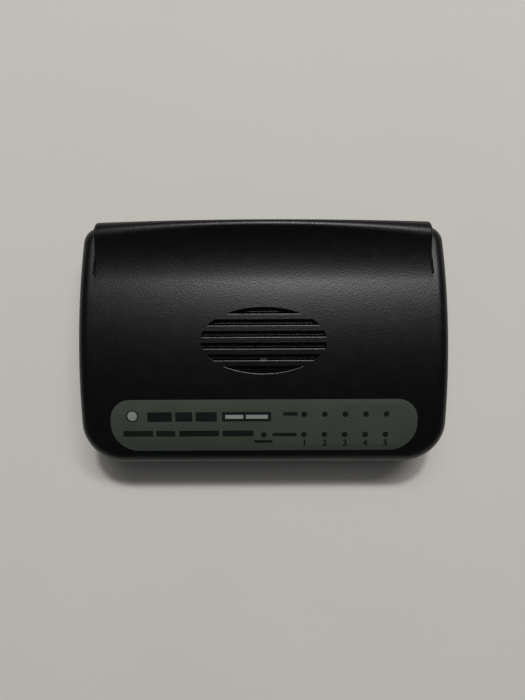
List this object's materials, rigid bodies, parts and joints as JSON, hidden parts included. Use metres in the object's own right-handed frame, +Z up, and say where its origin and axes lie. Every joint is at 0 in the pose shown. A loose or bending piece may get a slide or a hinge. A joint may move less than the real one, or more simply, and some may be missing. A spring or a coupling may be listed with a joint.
{
  "type": "desktop network switch",
  "caption": "Small desktop network switch: arched black case with an oval grille, a front label with status lights and a row of network sockets under a rear hood.",
  "frame": {"origin": "centre of the case's outline, at the underside of the feet", "axes": "+X to the right with the label nearest the viewer, +Y towards the sockets at the rear, +Z up"},
  "size_m": [0.1236, 0.082, 0.0266],
  "materials": {
    "cover_plastic": "black ABS, fine moulded texture",
    "base_plastic": "black ABS, fine moulded texture",
    "label_film": "grey-green printed polycarbonate film, satin",
    "light_pipe_plastic": "clear moulded acrylic",
    "rating_film": "blank silver-grey polyester film",
    "screw_steel": "zinc-plated steel",
    "foot_rubber": "black rubber, matte",
    "board_laminate": "green solder mask over glass-epoxy laminate",
    "socket_plastic": "black glass-filled nylon",
    "insert_plastic": "black nylon",
    "contact_gold": "gold-plated phosphor bronze",
    "jack_plastic": "black nylon",
    "plated_metal": "tin-plated copper",
    "spring_bronze": "phosphor bronze",
    "chip_epoxy": "black moulded epoxy",
    "can_steel": "drawn and plated steel can",
    "capacitor_sleeve": "dark blue PVC sleeve",
    "ferrite": "grey-black sintered ferrite",
    "copper_wire": "enamelled copper wire",
    "resistor_ceramic": "black glazed ceramic",
    "capacitor_ceramic": "tan ceramic",
    "led_resin": "white resin with a clear lens"
  },
  "bodies": {
    "root": {"top_cover": "cover_plastic", "base_shell": "base_plastic", "led_label": "label_film", "light_pipe": "light_pipe_plastic", "rating_label": "rating_film", "case_screws": "screw_steel", "board_screws": "screw_steel", "foot_front_left": "foot_rubber", "foot_front_right": "foot_rubber", "foot_rear_left": "foot_rubber", "foot_rear_right": "foot_rubber", "circuit_board": "board_laminate", "port_1_housing": "socket_plastic", "port_2_housing": "socket_plastic", "port_3_housing": "socket_plastic", "port_4_housing": "socket_plastic", "port_5_housing": "socket_plastic", "port_1_insert": "insert_plastic", "port_2_insert": "insert_plastic", "port_3_insert": "insert_plastic", "port_4_insert": "insert_plastic", "port_5_insert": "insert_plastic", "port_1_pins": "contact_gold", "port_2_pins": "contact_gold", "port_3_pins": "contact_gold", "port_4_pins": "contact_gold", "port_5_pins": "contact_gold", "power_jack_housing": "jack_plastic", "power_jack_pin": "plated_metal", "power_jack_terminals": "plated_metal", "switch_chip": "chip_epoxy", "switch_chip_leads": "plated_metal", "eeprom_chip": "chip_epoxy", "crystal_can": "can_steel", "transformer_1": "chip_epoxy", "transformer_2": "chip_epoxy", "transformer_3": "chip_epoxy", "transformer_4": "chip_epoxy", "transformer_5": "chip_epoxy", "transformer_leads": "plated_metal", "regulator": "chip_epoxy", "regulator_leads": "plated_metal", "power_diode": "chip_epoxy", "capacitor_input": "capacitor_sleeve", "capacitor_output": "capacitor_sleeve", "capacitor_core": "capacitor_sleeve", "inductor_core": "ferrite", "inductor_coil": "copper_wire", "chip_resistors": "resistor_ceramic", "chip_capacitors": "capacitor_ceramic", "speed_leds": "led_resin", "link_leds": "led_resin", "power_led": "led_resin"},
    "port_1_springs": {"port_1_contacts": "contact_gold"},
    "port_2_springs": {"port_2_contacts": "contact_gold"},
    "port_3_springs": {"port_3_contacts": "contact_gold"},
    "port_4_springs": {"port_4_contacts": "contact_gold"},
    "port_5_springs": {"port_5_contacts": "contact_gold"},
    "power_leaf": {"power_jack_spring": "spring_bronze"}
  },
  "joints": [
    {"name": "port_1_contact_press", "type": "hinge", "parent": "root", "child": "port_1_springs", "pos_m": [-0.0445, 0.0386, 0.0091], "axis": [1, 0, 0], "range_deg": [0, 12], "stiffness_Nm_per_rad": 0.15},
    {"name": "port_2_contact_press", "type": "hinge", "parent": "root", "child": "port_2_springs", "pos_m": [-0.0275, 0.0386, 0.0091], "axis": [1, 0, 0], "range_deg": [0, 12], "stiffness_Nm_per_rad": 0.15},
    {"name": "port_3_contact_press", "type": "hinge", "parent": "root", "child": "port_3_springs", "pos_m": [-0.0105, 0.0386, 0.0091], "axis": [1, 0, 0], "range_deg": [0, 12], "stiffness_Nm_per_rad": 0.15},
    {"name": "port_4_contact_press", "type": "hinge", "parent": "root", "child": "port_4_springs", "pos_m": [0.0065, 0.0386, 0.0091], "axis": [1, 0, 0], "range_deg": [0, 12], "stiffness_Nm_per_rad": 0.15},
    {"name": "port_5_contact_press", "type": "hinge", "parent": "root", "child": "port_5_springs", "pos_m": [0.0235, 0.0386, 0.0091], "axis": [1, 0, 0], "range_deg": [0, 12], "stiffness_Nm_per_rad": 0.15},
    {"name": "power_leaf_press", "type": "hinge", "parent": "root", "child": "power_leaf", "pos_m": [0.046, 0.031, 0.0101], "axis": [1, 0, 0], "range_deg": [-9, 0], "stiffness_Nm_per_rad": 0.2}
  ]
}
